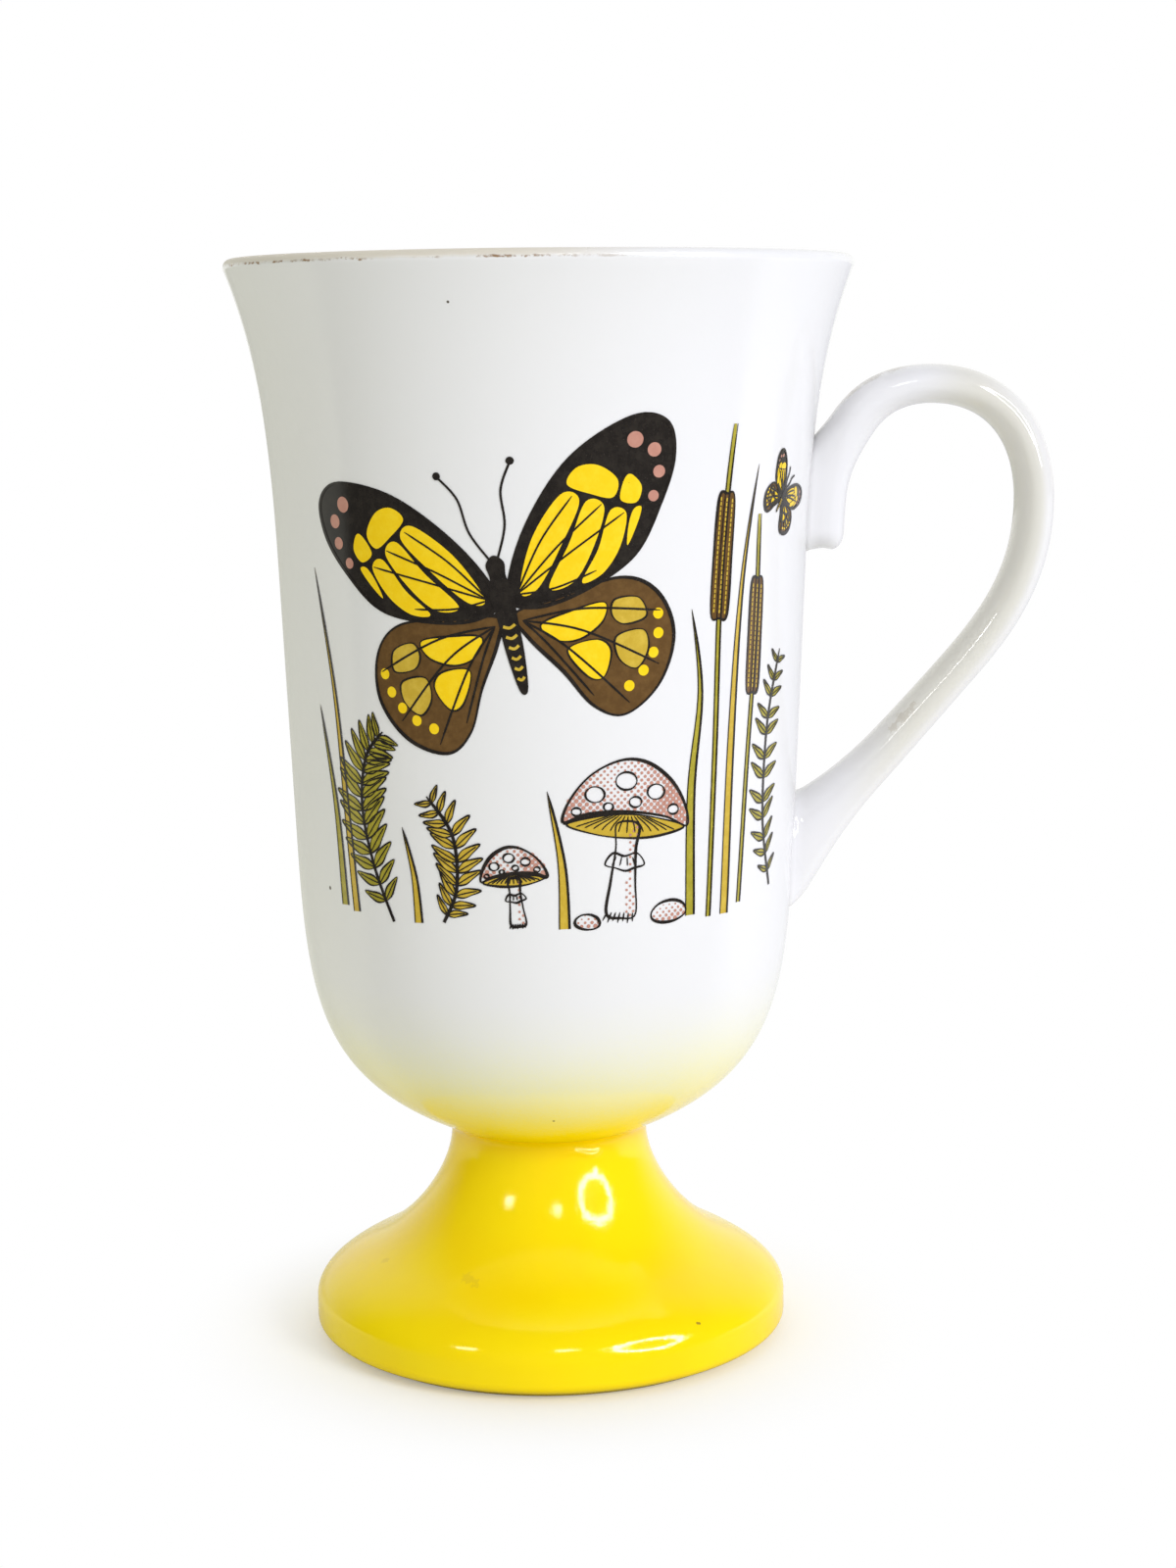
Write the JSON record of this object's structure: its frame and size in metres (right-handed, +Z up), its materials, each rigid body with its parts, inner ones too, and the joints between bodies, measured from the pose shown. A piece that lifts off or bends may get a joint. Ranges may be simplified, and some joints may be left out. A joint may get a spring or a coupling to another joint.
{
  "type": "pedestal mug",
  "caption": "Glazed porcelain pedestal mug: a tall bowl with a rounded belly and flared lip on a hollow, spreading foot, with an ear handle for the fingers.",
  "frame": {"origin": "on the table plane, under the middle of the box around the mug and its handle", "axes": "+Z up along the mug's axis, +X towards the handle, +Y away from the printed front"},
  "size_m": [0.1, 0.0754, 0.133],
  "materials": {
    "white_glaze": "glossy white glaze, with a printed panel on the front and a yellow spray at the bottom",
    "handle_glaze": "glossy warm white glaze",
    "yellow_glaze": "glossy yellow glaze, bare on the table ring",
    "slip": "fired porcelain slip under the glaze"
  },
  "bodies": {
    "root": {"bowl": "white_glaze", "pedestal_foot": "yellow_glaze", "neck_slip_joint": "slip", "handle": "handle_glaze", "upper_handle_slip_joint": "slip", "lower_handle_slip_joint": "slip"}
  },
  "joints": []
}
